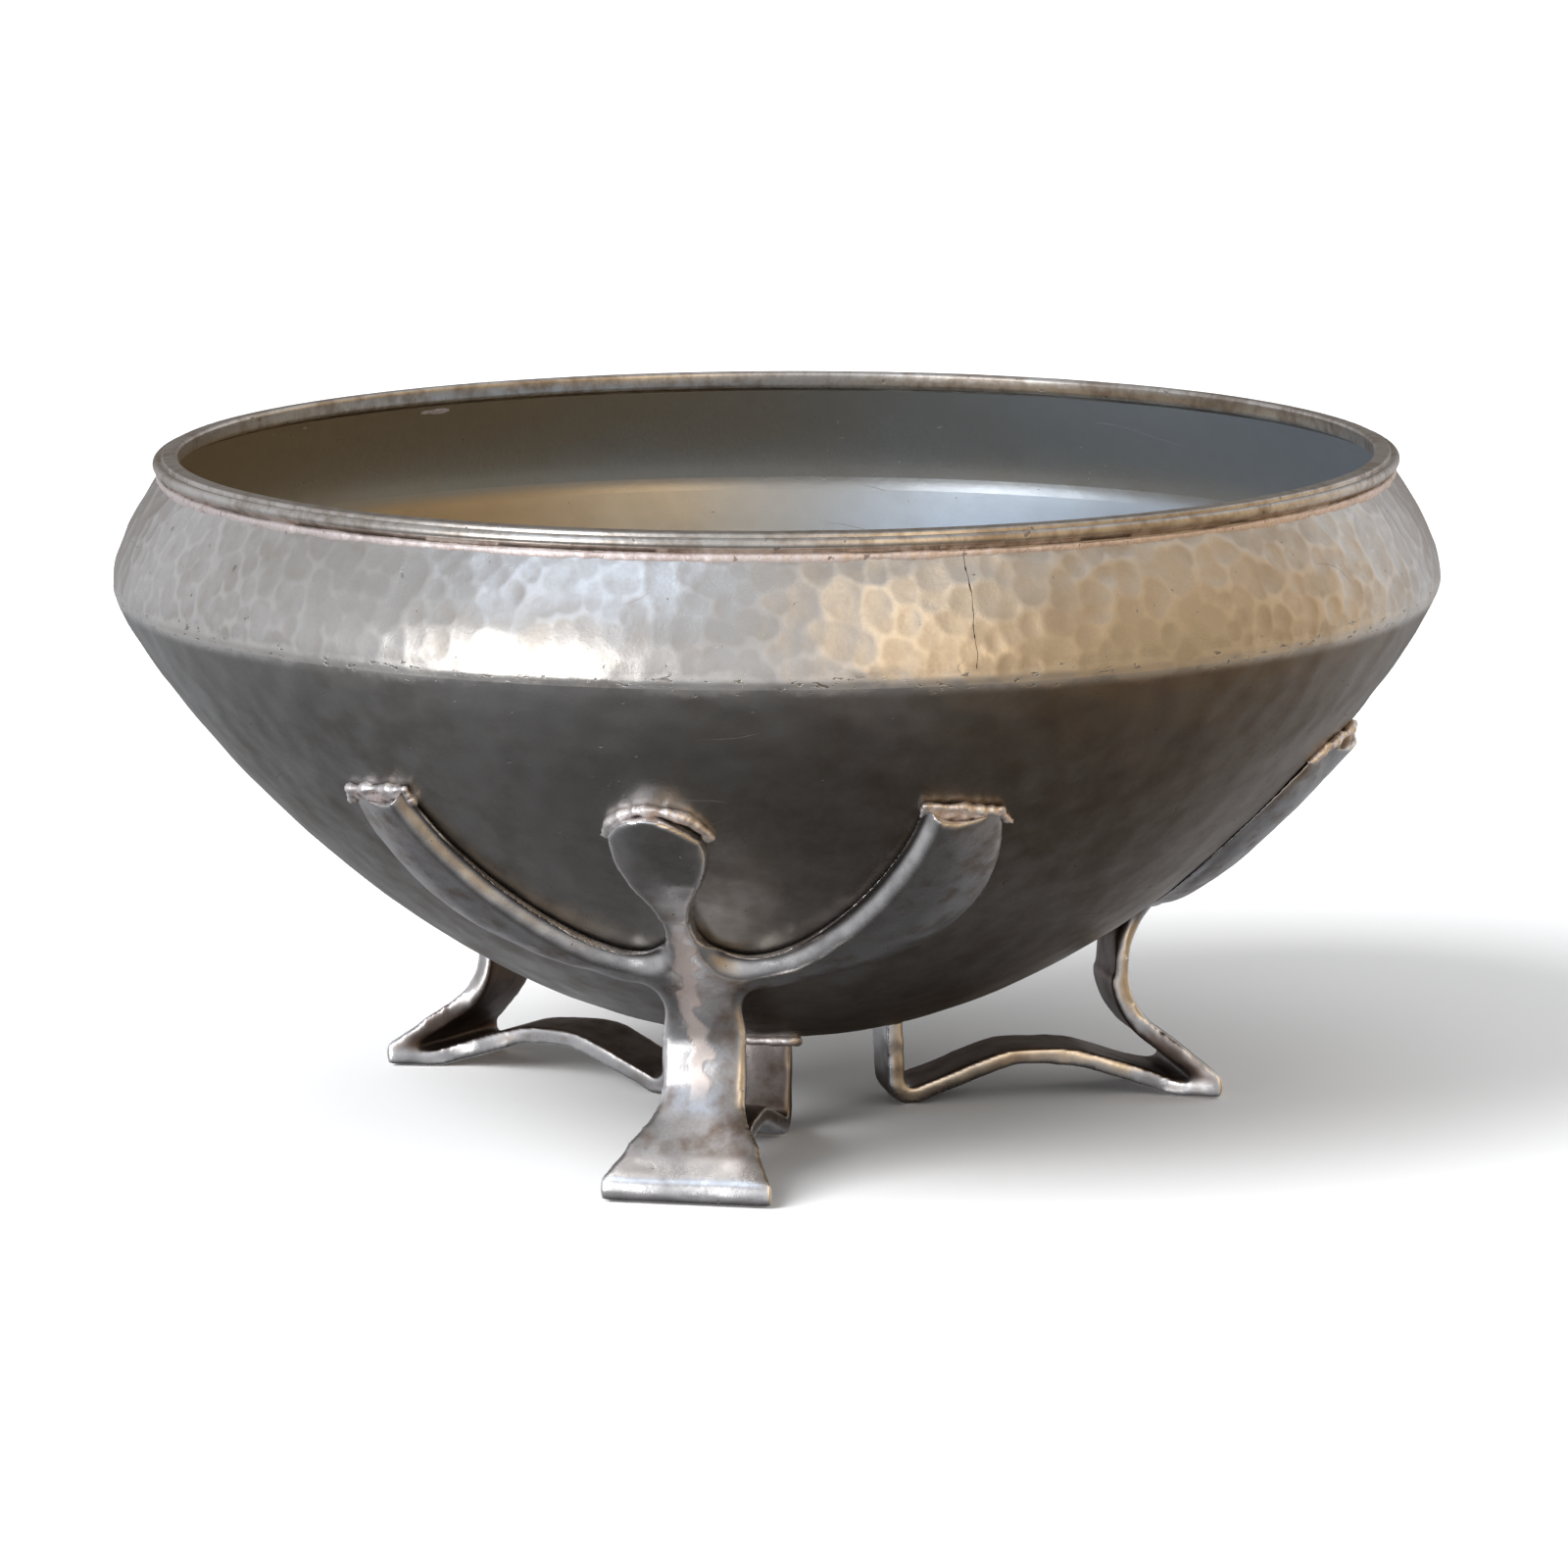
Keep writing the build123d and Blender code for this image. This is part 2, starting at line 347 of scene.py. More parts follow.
def wall_ring(name, low, high, outer_rows, inner_rows):
    """A ring of the wall between two heights, with the outside relief on it."""
    line = even(between(WALL_LINE, low, high), outer_rows)
    push, ridge = relief_for(line)
    low, high = line[-1, 1], line[0, 1]
    outer = spin(line, COLS, push)
    outer[0, :, 2], outer[-1, :, 2] = high, low
    inner = spin(inner_for(low, high, inner_rows), COLS)
    piece = closed_ring(name, np.concatenate([outer, inner[::-1]]))
    mark(piece, "ridge", ridge.ravel())
    inside = np.r_[np.zeros(outer[..., 0].size), np.ones(inner[..., 0].size)]
    return mark(piece, "inside", inside)


def make_band():
    """The shoulder band, covered in round planishing marks."""
    return wall_ring("shoulder_band_hammered", SEAM_HIGH, NECK_HEIGHT, outer_rows=48, inner_rows=12)


def make_fold_ring():
    """The filed solder ring at the fold."""
    return wall_ring("fold_solder_filed", SEAM_LOW, SEAM_HIGH, outer_rows=8, inner_rows=6)


def make_butt_seam():
    """The thin uneven line of solder where the band's two ends meet."""
    rng = np.random.default_rng(31)
    rows = 90
    line = even(between(WALL_LINE, SEAM_HIGH, NECK_HEIGHT), rows)
    turn = math.radians(BUTT_ANGLE)
    push = relief_for(line)[0][:, int(turn / (2 * np.pi) * COLS) % COLS]
    normals = normals_2d(line)
    width = 0.16 + 0.34 * np.clip(noise_1d(rng, rows, 14, 0.3), 0, 2) ** 1.5
    wander = 0.35 * (noise_1d(rng, rows, 6) - 1)
    # The section of the line of solder: half widths, and heights over the wall's outside
    across = np.array([-1, -0.6, 0, 0.6, 1, 1, 0, -1])
    lift = np.array([-0.1, 0.05, 0.10, 0.05, -0.1, -WALL + 0.2, -WALL + 0.1, -WALL + 0.2])
    r = line[:, 0, None] + normals[:, 0, None] * (push[:, None] + lift)
    z = line[:, 1, None] + normals[:, 1, None] * (push[:, None] + lift)
    side = wander[:, None] + across * width[:, None] / 2
    x = r * math.cos(turn) - side * math.sin(turn)
    y = r * math.sin(turn) + side * math.cos(turn)
    cols = len(across)
    faces = [list(f) for f in grid_faces(rows, cols)]
    faces += [list(range(cols))[::-1], list(range((rows - 1) * cols, rows * cols))]
    return new_object("band_butt_seam", np.stack([x, y, z], -1).reshape(-1, 3), faces)


def arc(cx, cy, radius, start, stop, count):
    """Points of an arc, in degrees."""
    a = np.radians(np.linspace(start, stop, count))
    return np.stack([cx + radius * np.cos(a), cy + radius * np.sin(a)], 1)


def make_rim():
    """The rim moulding: an inner lip, a fine groove and a round outer bead."""
    rng = np.random.default_rng(31)
    cols = 1200
    width, lip, bead, low_edge = 5.2, 0.9, 1.2, 1.2
    inner_radius = RIM_RADIUS - width
    section = np.vstack([
        arc(inner_radius + lip, RIM_TOP - lip, lip, 180, 80, 7),  # the inner lip
        arc(RIM_RADIUS - 2.35, RIM_TOP - 0.75, 0.55, 100, 20, 5),  # down into the groove
        arc(RIM_RADIUS - 1.62, RIM_TOP - 1.0, 0.28, 190, 330, 4),  # the groove
        arc(RIM_RADIUS - bead, RIM_TOP - 2.05, bead, 75, -75, 12),  # the outer bead
        [(NECK_RADIUS + 0.35, NECK_HEIGHT - 0.02), (NECK_RADIUS - 0.6, NECK_HEIGHT - 0.02)],
        arc(inner_radius + low_edge, NECK_HEIGHT + low_edge, low_edge, 265, 185, 6),
    ])
    angle = np.linspace(0, 2 * np.pi, cols, endpoint=False)
    wander_r = 0.10 * noise_1d(rng, cols, 24, 0.8) - 0.10
    wander_z = 0.07 * noise_1d(rng, cols, 40, 0.8) - 0.07
    nick = 0.05 * noise_1d(rng, cols, 240, 0.2)
    high = np.clip((section[:, 1] - NECK_HEIGHT) / (RIM_TOP - NECK_HEIGHT), 0, 1)
    r = section[:, :1] + (wander_r + nick * 0.5)[None, :] * high[:, None]
    z = section[:, 1:2] + (wander_z + nick * 0.3)[None, :] * high[:, None]
    rings = np.stack([r * np.cos(angle), r * np.sin(angle), z], -1)
    return closed_ring("rim_moulding", rings[::-1])


def make_rim_bead():
    """The solder bead in the corner under the rim, thick in some places and nearly gone in others."""
    rng = np.random.default_rng(41)
    cols = 1400
    angle = np.linspace(0, 2 * np.pi, cols, endpoint=False)
    swell = 0.72 + 0.5 * noise_1d(rng, cols, 60, 0.5) + 0.22 * noise_1d(rng, cols, 260, 0.1)
    swell = np.clip(swell, 0.15, 1.25)
    around = np.radians(np.linspace(0, 360, 10, endpoint=False))
    centre_r, centre_z = NECK_RADIUS + 0.45, NECK_HEIGHT - 0.75
    half_width, above, below = 0.75, 0.8, 1.7
    r = centre_r + swell[None, :] * np.cos(around)[:, None] * half_width
    tall = swell * np.where(np.sin(around) > 0, above, below)[:, None]
    z = np.minimum(centre_z + tall * np.sin(around)[:, None], NECK_HEIGHT + 0.05)
    rings = np.stack([r * np.cos(angle), r * np.sin(angle), z], -1)
    return closed_ring("rim_solder_bead", rings[::-1])


# ---------------------------------------------------------------- legs

def remeshed(name, voxel):
    """A CAD node as an even fine mesh: points in millimetres, faces and edges."""
    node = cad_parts[name]
    mesh = node.data.copy()
    mesh.transform(node.matrix_world)
    work = bpy.data.objects.new("work_copy", mesh)
    bpy.context.scene.collection.objects.link(work)
    mod = work.modifiers.new("even", "REMESH")
    mod.mode = "VOXEL"
    mod.voxel_size = voxel * MM
    result = work.evaluated_get(bpy.context.evaluated_depsgraph_get()).to_mesh()
    co = np.empty(len(result.vertices) * 3)
    result.vertices.foreach_get("co", co)
    faces = [list(p.vertices) for p in result.polygons]
    edges = np.empty(len(result.edges) * 2, int)
    result.edges.foreach_get("vertices", edges)
    bpy.data.objects.remove(work)
    return co.reshape(-1, 3) / MM, faces, edges.reshape(-1, 2)


def relax(co, edges, rounds, weight=1.0):
    """Moves each point toward the mean of its neighbours."""
    a, b = edges.T
    count = len(co)
    degree = np.bincount(edges.ravel(), minlength=count)[:, None]
    for _ in range(rounds):
        total = [np.bincount(a, co[b, i], count) + np.bincount(b, co[a, i], count) for i in range(3)]
        co = co + (np.stack(total, 1) / degree - co) * 0.5 * weight
    return co


def point_normals(co, faces):
    """Normals at the points of a closed mesh."""
    quads = np.array([f if len(f) == 4 else f + [f[-1]] for f in faces])
    n = np.cross(co[quads[:, 2]] - co[quads[:, 0]], co[quads[:, 3]] - co[quads[:, 1]])
    out = np.zeros_like(co)
    for i in range(4):
        for k in range(3):
            out[:, k] += np.bincount(quads[:, i], n[:, k], len(co))
    return out / (np.linalg.norm(out, axis=1)[:, None] + 1e-12)


def mark_wear(piece, co, faces, edges, worn=0.0):
    """Stores how far each point stands out or lies in a hollow; worn adds to what stands out."""
    normals = point_normals(co, faces)
    a, b = edges.T
    count = len(co)
    degree = np.bincount(edges.ravel(), minlength=count)
    smooth = relax(co, edges, 3)
    bulge = ((co - smooth) * normals).sum(1)
    for _ in range(4):
        around = np.bincount(a, bulge[b], count) + np.bincount(b, bulge[a], count)
        bulge = 0.5 * bulge + 0.5 * around / degree
    mark(piece, "edge", np.maximum(smooth_step(bulge, 0.004, 0.05), worn))
    return mark(piece, "hollow", smooth_step(-bulge, 0.01, 0.08))


def ripple(rng, co, wavelength, waves=24):
    """Smooth random relief in space, about -1 to 1."""
    out = np.zeros(len(co))
    for _ in range(waves):
        direction = rng.normal(size=3)
        direction *= 2 * np.pi / (wavelength * rng.uniform(0.7, 1.5)) / np.linalg.norm(direction)
        out += np.sin(co @ direction + rng.uniform(0, 2 * np.pi))
    return out / math.sqrt(waves * 2)


WALL_2D = even(LOWER, 900)
WALL_N = normals_2d(WALL_2D)
WALL_S = run_length(WALL_2D)


def to_wall(co):
    """Distance down the bowl's profile and distance out from it, for each point."""
    flat = np.stack([np.hypot(co[:, 0], co[:, 1]), co[:, 2]], 1)
    along = np.empty(len(co))
    out = np.empty(len(co))
    for part in np.array_split(np.arange(len(co)), max(1, len(co) // 4000)):
        d = flat[part, None] - WALL_2D[None]
        near = (d ** 2).sum(-1).argmin(1)
        along[part] = WALL_S[near]
        out[part] = (d[np.arange(len(part)), near] * WALL_N[near]).sum(-1)
    return along, out


def from_wall(side, along, out):
    """Points from their sideways place, distance down the profile and distance out."""
    p = np.stack([np.interp(along, WALL_S, WALL_2D[:, i]) for i in range(2)], 1)
    n = np.stack([np.interp(along, WALL_S, WALL_N[:, i]) for i in range(2)], 1)
    n /= np.linalg.norm(n, axis=1)[:, None]
    q = p + n * out[:, None]
    return np.stack([side, -np.sqrt(np.maximum(q[:, 0] ** 2 - side ** 2, 0)), q[:, 1]], 1)


# Edges of the trident as Bezier curves, sideways from its middle and up
NOTCH = [(3.1, 58), (3.1, 54), (5.5, 50), (11.4, 49.8)]
ARM_TOP = [(11.4, 49.8), (22, 49.4), (45, 68), (52.5, 86)]
ARM_UNDER = [(12, 42), (46, 45), (64, 62), (66, 84)]
ARM_THICK = 4.4  # thickness of the trident in the solid model
ARM_CREST = 4.9  # thickness along the middle of an arm, where it stands out most
STEM_HALF = 2.6  # how far from the middle the arms' shaping starts
TRIDENT_OUT = 6  # no point of the trident lies further out from the wall
TRIDENT_LOW, TRIDENT_HIGH = 40, 88
LIP_DEPTH = 1.5  # height over the wall at which the edges' distances are measured


def on_skin(curve):
    """A trident edge, given sideways and up, laid on the bowl's wall."""
    line = cubic(curve, np.linspace(0, 1, 120))
    radius = np.interp(line[:, 1], WALL_2D[::-1, 1], WALL_2D[::-1, 0]) + LIP_DEPTH
    return np.stack([line[:, 0], -np.sqrt(radius ** 2 - line[:, 0] ** 2), line[:, 1]], 1)


def distance_to(co, line):
    """Distance of each point to a dense line of points."""
    out = np.empty(len(co))
    for part in np.array_split(np.arange(len(co)), max(1, len(co) // 8000)):
        out[part] = np.sqrt(((co[part, None] - line[None]) ** 2).sum(-1).min(1))
    return out


def arch_arms(co):
    """Bevels the arms' upper edges and thins their lower edges onto the bowl.

    Also gives how bright the bevel is worn at each point.
    """
    bevel_width, thin_width = 4.0, 12
    along, out = to_wall(co)
    side = np.abs(co[:, 0])
    near = (out < TRIDENT_OUT) & (co[:, 2] > TRIDENT_LOW) & (side > STEM_HALF) & (co[:, 2] < TRIDENT_HIGH)
    near &= (co[:, 2] < 57) | (side > 14)  # leaves out the bud
    foot = from_wall(side[near], along[near], np.full(near.sum(), LIP_DEPTH))
    lip = distance_to(foot, np.vstack([on_skin(NOTCH), on_skin(ARM_TOP)]))
    under = distance_to(foot, on_skin(ARM_UNDER))
    bevel = 0.06 + 0.94 * (1 - (1 - np.clip(lip / bevel_width, 0, 1)) ** 1.6)
    thinning = 0.22 + 0.78 * np.sin(np.pi / 2 * np.clip(under / thin_width, 0, 1))
    on_arm = smooth_step(side[near], 13, 24)
    factor = 1 + (bevel - 1) * smooth_step(side[near], STEM_HALF, 7)
    factor = factor * (1 + (thinning * ARM_CREST / ARM_THICK - 1) * on_arm)
    bright = np.zeros(len(co))
    on_bevel = smooth_step(lip, 0.2, 0.9) * (1 - smooth_step(lip, 2.4, 4.8))
    bright[near] = on_bevel * smooth_step(side[near], STEM_HALF, 6)
    new_out = np.where(out[near] > 0, out[near] * factor, out[near])
    co = co.copy()
    co[near] = from_wall(co[near, 0], along[near], new_out)
    return co, bright


def shape_bud(co, slant):
    """Domes the bud and slants the top of it to one side."""
    bud_half = 10.5
    along, out = to_wall(co)
    near = (out < TRIDENT_OUT) & (co[:, 2] > 60) & (np.abs(co[:, 0]) < 14)
    x, z = co[near, 0], co[near, 2]
    middle = np.clip(1 - (x / bud_half) ** 2, 0, 1) * smooth_step(z, 62, 72)
    dome = 1.22 - 0.34 * smooth_step(z, 60, 86) + 0.30 * middle - 0.10 * smooth_step(np.abs(x), 5, 11)
    drop = slant * smooth_step(x, -1, 10) * smooth_step(z, 74, 86)
    co = co.copy()
    co[near] = from_wall(x, along[near] + drop, np.where(out[near] > 0, out[near] * dome, out[near]))
    return co


def neck_mask(co):
    """Where the neck runs into the trident, from 0 to 1."""
    side = 1 - smooth_step(np.abs(co[:, 0]), 9, 17)
    up = smooth_step(co[:, 2], 30, 38) * (1 - smooth_step(co[:, 2], 46, 54))
    reach = smooth_step(-co[:, 1], 62, 70)
    return (side * up * reach)[:, None]


def leg_base():
    """The front leg, softened as hand forging and filing leave it.

    Gives its points, faces and edges, and how bright each point is worn.
    """
    co, faces, edges = remeshed("leg_front", 0.55)
    co = relax(co, edges, 5)
    co = relax(co, edges, 120, neck_mask(co))
    toe = smooth_step(-co[:, 1], 83, 89) * (co[:, 2] < 10)
    co = relax(co, edges, 26, toe[:, None])
    co, bright = arch_arms(co)
    co = shape_bud(co, 2.6)
    co = relax(co, edges, 5)
    at_bud = smooth_step(co[:, 2], 56, 64)
    bud = at_bud * (np.abs(co[:, 0]) < 14) * 0.4
    stem = smooth_step(co[:, 2], 46, 50) * (1 - at_bud) * (np.abs(co[:, 0]) < 3.6) * 0.8
    toe *= smooth_step(-co[:, 1], 87.5, 90)
    return co, faces, edges, np.maximum.reduce([bright, bud, stem, toe])


def turned(co, degrees):
    """Points turned round the bowl's axis."""
    a = math.radians(degrees)
    turn = np.array([[math.cos(a), -math.sin(a), 0], [math.sin(a), math.cos(a), 0], [0, 0, 1]])
    return co @ turn.T


def make_leg(name, base, degrees, seed):
    """A leg with its own small unevenness, turned to its place round the bowl."""
    rng = np.random.default_rng(seed)
    strap_half = 9.5
    co, faces, edges, worn = base
    normals = point_normals(co, faces)
    out = to_wall(co)[1]
    free = smooth_step(out, 0.3, 1.5) * smooth_step(co[:, 2], 0.2, 2.0)
    push = 0.16 * ripple(rng, co, 16) + 0.07 * ripple(rng, co, 6) - 0.10
    # The strap's outer face is slightly round across
    front = smooth_step(-normals[:, 1], 0.5, 0.9) * smooth_step(co[:, 2], 8, 16)
    front *= 1 - smooth_step(co[:, 2], 40, 52)
    dome = np.clip(1 - (co[:, 0] / strap_half) ** 2, 0, 1) * front * smooth_step(-co[:, 1], 60, 68)
    co = co + normals * (push * free + dome)[:, None]
    co[:, 2] = np.maximum(co[:, 2], 0)
    worn = worn * np.clip(0.85 + 0.22 * ripple(rng, co, 5), 0, 1)
    piece = mark_wear(new_object(name, turned(co, degrees), faces), co, faces, edges, worn)
    x, y, z = co.T
    # Painted shade on the faces turned to the inside of the strap's loop: its long back, its lower run and
    # the short riser
    back = smooth_step(normals[:, 1], 0.15, 0.6) * (y < -60) * smooth_step(z, 2.5, 5)
    run = smooth_step(normals[:, 2], 0.2, 0.7) * smooth_step(normals[:, 1], -0.45, -0.2) * (z < 14)
    run *= smooth_step(y, -90, -84) * (1 - smooth_step(y, -30, -22))
    riser = smooth_step(-normals[:, 1], 0.2, 0.7) * (y > -34) * smooth_step(z, 2, 5) * 0.7
    loop = np.maximum.reduce([back, run, riser])
    mark(piece, "painted_loop_shade", loop * (1 - smooth_step(z, 44, 50)))
    # A wandering line down the outer face
    streak_half = 2.6
    aside = np.abs(x + 1.2 + 0.8 * np.sin(z / 5)) / streak_half
    streak = smooth_step(0.55 * ripple(rng, co, 5) + 0.9 - aside, 0, 0.35)
    streak *= smooth_step(-normals[:, 1], 0.2, 0.6) * smooth_step(z, 17, 22) * (1 - smooth_step(z, 54, 60))
    return mark(piece, "streak", streak)


def make_bead(name, node, lump, wavelength, seed):
    """A soldered bead, rounded and lumpy."""
    rng = np.random.default_rng(seed)
    swell, voxel = 0.5, 0.45
    co, faces, edges = remeshed(node, voxel)
    co = relax(co, edges, 10)
    normals = point_normals(co, faces)
    push = swell + lump * ripple(rng, co, wavelength) + lump * 0.4 * ripple(rng, co, wavelength * 0.45)
    co = co + normals * push[:, None]
    return mark_wear(new_object(name, co, faces), co, faces, edges)


# ---------------------------------------------------------------- materials

class Skin:
    """A metal surface built from a few nodes, all measured in the object's own space."""

    def __init__(self, name):
        self.material = bpy.data.materials.new(name)
        self.material.use_nodes = True
        self.tree = self.material.node_tree
        self.shader = self.tree.nodes["Principled BSDF"]
        self.shader.inputs["Metallic"].default_value = 1
        self.space = self.tree.nodes.new("ShaderNodeTexCoord").outputs["Object"]

    def put(self, socket, value):
        """Links a node's output to a socket, or sets a plain value."""
        if isinstance(value, bpy.types.NodeSocket):
            self.tree.links.new(value, socket)
        else:
            socket.default_value = value

    def math(self, operation, a, b=0.0, c=0.0):
        """The result of a sum on values."""
        node = self.tree.nodes.new("ShaderNodeMath")
        node.operation = operation
        for socket, value in zip(node.inputs, (a, b, c)):
            self.put(socket, value)
        return node.outputs[0]

    def step(self, value, low, high, to_low=0.0, to_high=1.0):
        """A smooth step of a value from low to high."""
        node = self.tree.nodes.new("ShaderNodeMapRange")
        node.interpolation_type = "SMOOTHSTEP"
        keys = ("Value", "From Min", "From Max", "To Min", "To Max")
        for key, v in zip(keys, (value, low, high, to_low, to_high)):
            self.put(node.inputs[key], v)
        return node.outputs[0]

    def noise(self, scale, detail=2.0, rough=0.55, stretch=(1, 1, 1), shift=(0, 0, 0)):
        """Cloudy noise from 0 to 1, at a scale in patches a metre."""
        node = self.tree.nodes.new("ShaderNodeTexNoise")
        mapping = self.tree.nodes.new("ShaderNodeMapping")
        mapping.inputs["Location"].default_value = shift
        mapping.inputs["Scale"].default_value = stretch
        self.tree.links.new(self.space, mapping.inputs["Vector"])
        self.tree.links.new(mapping.outputs[0], node.inputs["Vector"])
        node.inputs["Scale"].default_value = scale
        node.inputs["Detail"].default_value = detail
        node.inputs["Roughness"].default_value = rough
        return node.outputs["Fac"]

    def blend(self, factor, a, b, kind="MIX"):
        """Colour a turning to colour b by a factor, or multiplied by it."""
        node = self.tree.nodes.new("ShaderNodeMix")
        node.data_type = "RGBA"
        node.blend_type = kind
        self.put(node.inputs[0], factor)
        for socket, value in ((node.inputs[6], a), (node.inputs[7], b)):
            self.put(socket, (*value, 1) if isinstance(value, tuple) else value)
        return node.outputs[2]

    def tint(self, factor, color, by):
        """A colour multiplied by another, by a factor."""
        return self.blend(factor, color, self.blend(1.0, color, by, "MULTIPLY"))

    def attribute(self, name):
        """A value stored at the mesh's points."""
        node = self.tree.nodes.new("ShaderNodeAttribute")
        node.attribute_name = name
        return node.outputs["Fac"]

    def axis(self, index):
        """The place along x, y or z, in metres."""
        node = self.tree.nodes.new("ShaderNodeSeparateXYZ")
        self.tree.links.new(self.space, node.inputs[0])
        return node.outputs[index]

    def finish(self, color, rough, height, depth):
        """Sets the colour, the roughness and a bump of some depth in metres."""
        bump = self.tree.nodes.new("ShaderNodeBump")
        bump.inputs["Strength"].default_value = 1
        bump.inputs["Distance"].default_value = depth
        self.put(bump.inputs["Height"], height)
        self.put(self.shader.inputs["Base Color"], color)
        self.put(self.shader.inputs["Roughness"], rough)
        self.tree.links.new(bump.outputs[0], self.shader.inputs["Normal"])
        return self.material


BUMP_DEPTH = 0.00016  # metres


def worn_metal(name, plain, stain, bright, rough, stain_size=26, stained=(0.42, 0.66),
               pits=0.735, grain=1.0, scratched=0.6, more=None):
    """Old metal: stained, pitted and scratched, bright where it stands out, dark in hollows."""
    skin = Skin(name)
    # Stains in two sizes, and a fine grain
    cloud = skin.noise(stain_size, 4, 0.62)
    small = skin.noise(stain_size * 5.5, 3, 0.6, shift=(0.3, 0.1, 0.7))
    both = skin.math("MULTIPLY_ADD", small, 0.45, skin.math("MULTIPLY", cloud, 0.55))
    fine = skin.noise(1500, 2, 0.6)
    color = skin.blend(skin.step(both, *stained), plain, stain)
    color = skin.blend(skin.step(fine, 0.35, 0.75, 0.0, 0.22 * grain), color, stain)
    # Worn bright in patches on edges and ridges, dark in hollows
    ridge = skin.step(skin.attribute("ridge"), 0.2, 1.0, 0.0, 0.42)
    standing = skin.math("MAXIMUM", skin.attribute("edge"), ridge)
    standing = skin.math("MULTIPLY", standing, skin.step(small, 0.30, 0.62, 0.35, 1.0))
    color = skin.blend(standing, color, bright)
    hollow = skin.math("MULTIPLY", skin.attribute("hollow"), 0.75)
    color = skin.blend(hollow, color, tuple(c * 0.35 for c in stain))
    # Pits, and thin scratches in some places
    speck = skin.step(skin.noise(520, 2, 0.5, shift=(0.9, 0.2, 0.4)), pits, pits + 0.035)
    line = skin.math("ABSOLUTE", skin.math("SUBTRACT", skin.noise(15, 1, 0.4, stretch=(1, 1, 2.6)), 0.5))
    places = skin.step(skin.noise(38, 1, shift=(0.5, 0.6, 0.2)), 0.56, 0.64)
    line = skin.math("MULTIPLY", skin.step(line, 0.0, 0.0016, scratched, 0.0), places)
    flaw = skin.math("MAXIMUM", speck, line)
    color = skin.blend(skin.math("MULTIPLY", flaw, 0.6), color, tuple(c * 0.4 for c in stain))
    roughness = skin.math("MULTIPLY_ADD", both, 0.30, rough - 0.13)
    roughness = skin.math("MULTIPLY_ADD", flaw, 0.2, roughness)
    roughness = skin.math("MULTIPLY_ADD", standing, -0.06, roughness)
    roughness = skin.math("MULTIPLY_ADD", fine, 0.10 * grain, roughness)
    height = skin.math("MULTIPLY_ADD", small, 0.55, skin.math("MULTIPLY", fine, 0.10 * grain))
    height = skin.math("MULTIPLY_ADD", flaw, -0.35, height)
    if more:
        color, roughness, height = more(skin, color, roughness, height)
    return skin.finish(color, roughness, height, BUMP_DEPTH)


# Heights on the wall between which its painted sheen and painted shade change, in metres
TOP_PART = (0.094, 0.114)
BAND_EDGE = (0.1132, 0.1136)
UNDER_FOLD = (0.1135, 0.111)


def wall_extras(skin, color, rough, height):
    """The worn strip along the fold, a painted sheen on the lower bowl's top part, painted shade on its
    sides, and painted shade and a painted reflection tint on the inside.
    """
    wave = skin.noise(60, 4, 0.7, shift=(0.2, 0.8, 0.1))
    uneven = skin.math("SUBTRACT", wave, 0.5)
    x, z = skin.axis(0), skin.axis(2)
    # Pale and nicked along the fold
    away = skin.math("ABSOLUTE", skin.math("SUBTRACT", z, (FOLD_HEIGHT - 0.6) * MM))
    away = skin.math("MULTIPLY_ADD", uneven, -0.011, away)
    pale = skin.step(away, 0.0008, 0.0026, 1.0, 0.0)
    outside = skin.math("SUBTRACT", 1.0, skin.attribute("inside"))
    pale = skin.math("MULTIPLY", pale, outside)
    color = skin.blend(skin.math("MULTIPLY", pale, 0.65), color, (0.80, 0.77, 0.73))
    nick = skin.step(skin.noise(330, 3, 0.7, stretch=(1, 1, 2.4), shift=(0.1, 0.4, 0.9)), 0.60, 0.67)
    nick = skin.math("MULTIPLY", nick, pale)
    color = skin.blend(skin.math("MULTIPLY", nick, 0.6), color, (0.13, 0.11, 0.09))
    height = skin.math("MULTIPLY_ADD", nick, -0.6, height)
    rough = skin.math("MULTIPLY_ADD", pale, 0.05, rough)
    # A painted sheen: a little lighter in the top part of the lower bowl
    lighter = skin.step(skin.math("MULTIPLY_ADD", uneven, 0.03, z), *TOP_PART)
    lighter = skin.math("MULTIPLY", lighter, skin.step(z, *BAND_EDGE, 0.20, 0.0))
    color = skin.blend(skin.math("MULTIPLY", lighter, outside), color, (0.86, 0.85, 0.84))
    # Painted shade: darker to the left and brown to the right, under the fold
    below = skin.step(z, *UNDER_FOLD)
    left = skin.math("MULTIPLY", skin.step(x, -0.03, -0.10), below)
    color = skin.tint(left, color, (0.52, 0.52, 0.51))
    brown = skin.math("MULTIPLY_ADD", uneven, 0.09, x)
    brown = skin.math("MULTIPLY", skin.step(brown, -0.02, 0.10), below)
    color = skin.tint(brown, color, (0.46, 0.38, 0.305))
    # Inside: dull, with painted shade and a painted reflection tint from yellow brown on the left to bluish
    # grey on the right
    patches = skin.noise(14, 3, 0.6, shift=(0.7, 0.3, 0.2))
    side = skin.math("MULTIPLY_ADD", patches, 0.12, skin.math("SUBTRACT", x, 0.06))
    cast = skin.blend(skin.step(side, -0.09, 0.05), (0.70, 0.585, 0.41), (0.80, 0.90, 1.0))
    inner = skin.blend(0.85, color, skin.blend(1.0, (0.68, 0.68, 0.68), cast, "MULTIPLY"))
    color = skin.blend(skin.attribute("inside"), color, inner)
    rough = skin.math("MULTIPLY_ADD", skin.attribute("inside"), 0.08, rough)
    return color, rough, height


